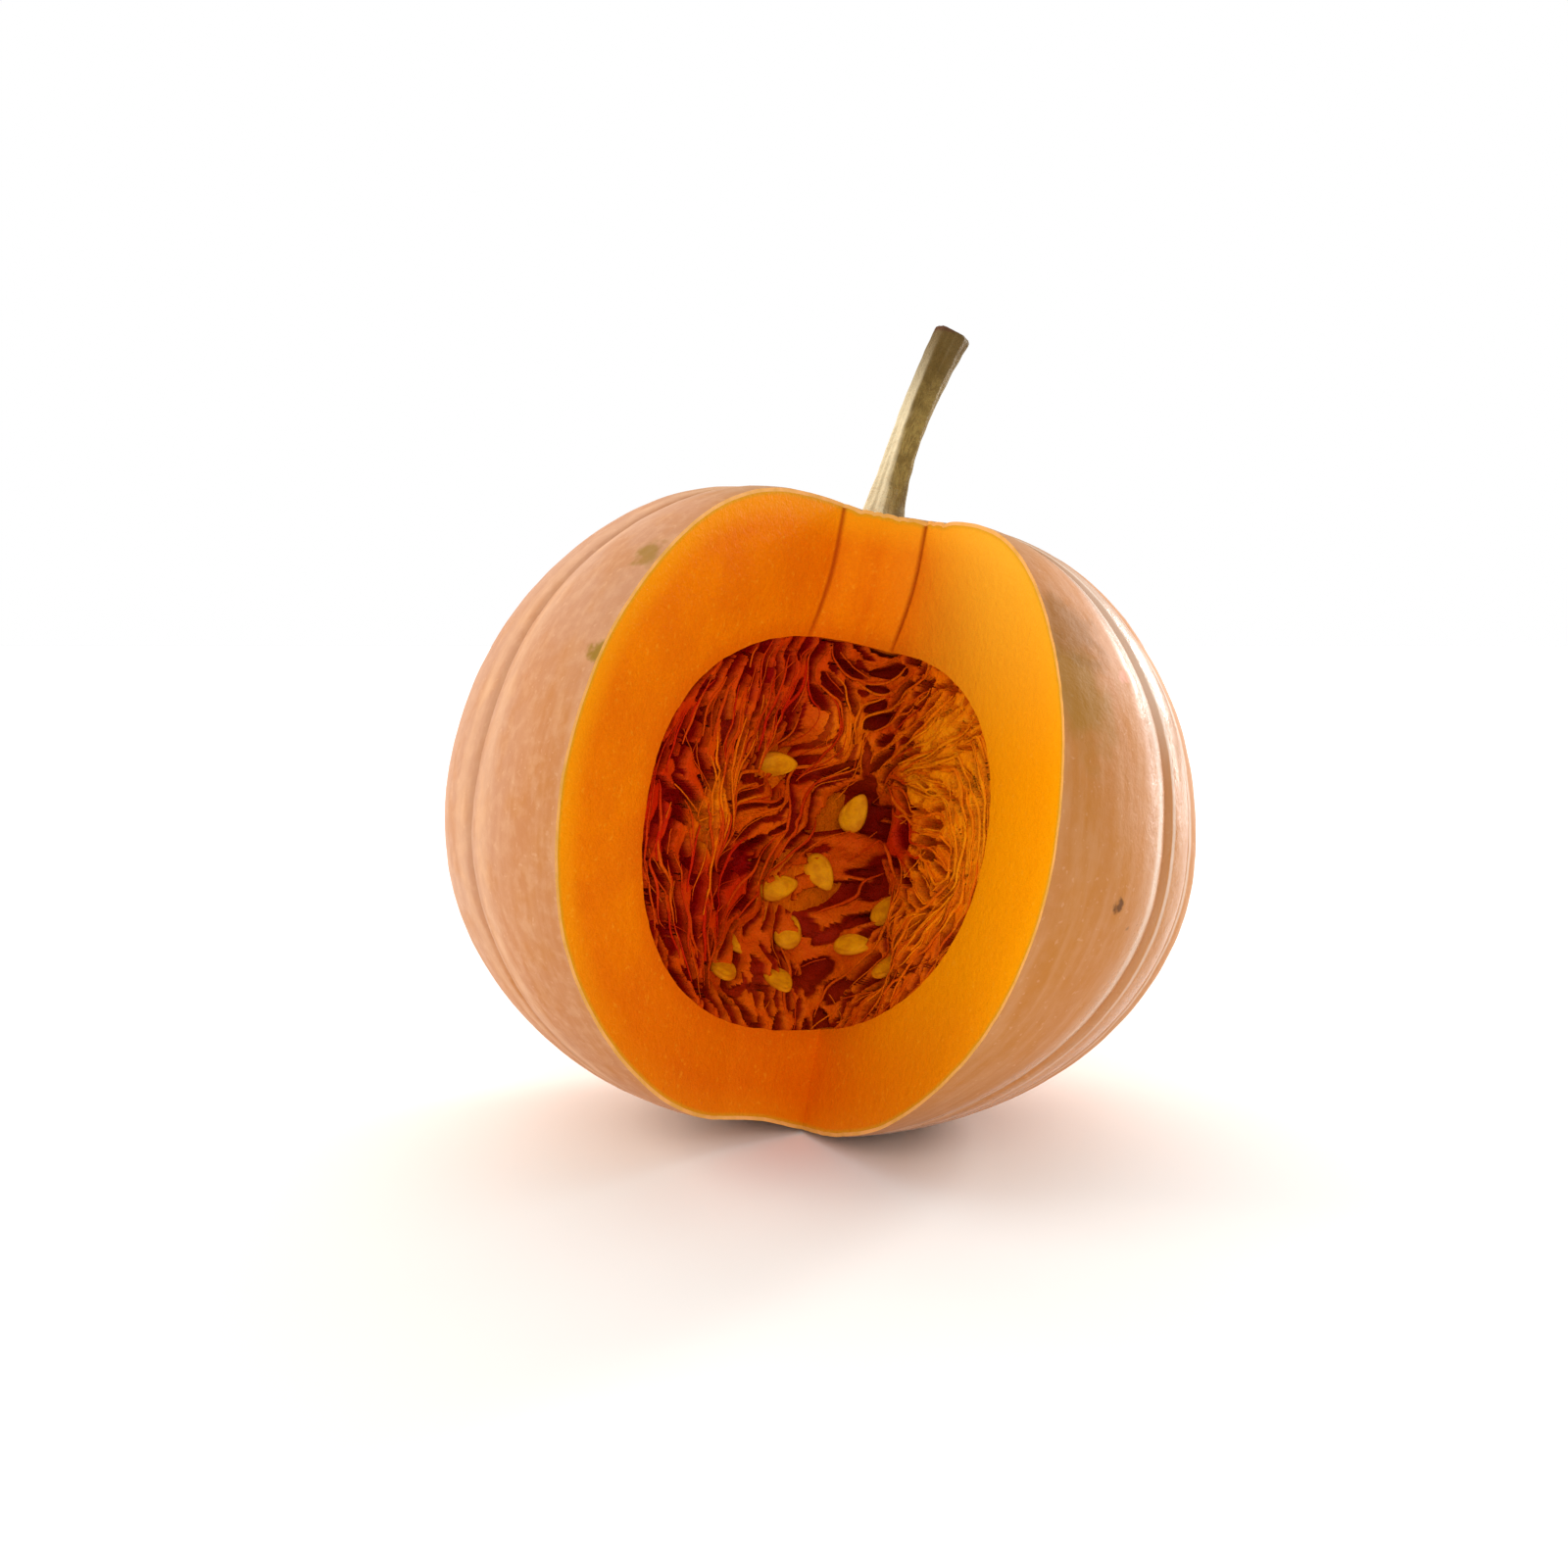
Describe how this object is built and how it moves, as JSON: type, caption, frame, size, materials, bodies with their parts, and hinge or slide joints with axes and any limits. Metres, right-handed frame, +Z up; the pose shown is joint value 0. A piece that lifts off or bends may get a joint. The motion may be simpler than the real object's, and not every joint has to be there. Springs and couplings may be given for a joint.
{
  "type": "cut pumpkin",
  "caption": "Round ribbed pumpkin with a slender stem, resting on its underside, one wedge cut out to show thick flesh, stringy pulp and seeds.",
  "frame": {"origin": "on the surface the pumpkin rests on, inside its small flat spot, under its weight", "axes": "+Z up; the missing wedge opens towards -Y; +X is to the right seen from the open side; the fruit's own axis leans 13 degrees towards +Y and 10 degrees towards +X"},
  "size_m": [0.2689, 0.2462, 0.2862],
  "materials": {
    "rind": "smooth waxy skin, salmon-tan with a satin shine",
    "flesh": "moist cut flesh, deep orange",
    "pulp": "wet stringy pulp, red-orange",
    "stem": "dry corky stem, olive-tan with a brown cut end",
    "seed": "smooth damp seed coat, dull yellow"
  },
  "bodies": {
    "root": {"fruit": "rind", "pulp": "pulp", "stem": "stem", "seed_01": "seed", "seed_02": "seed", "seed_03": "seed", "seed_04": "seed", "seed_05": "seed", "seed_06": "seed", "seed_07": "seed", "seed_08": "seed", "seed_09": "seed", "seed_10": "seed", "seed_11": "seed"}
  },
  "joints": []
}
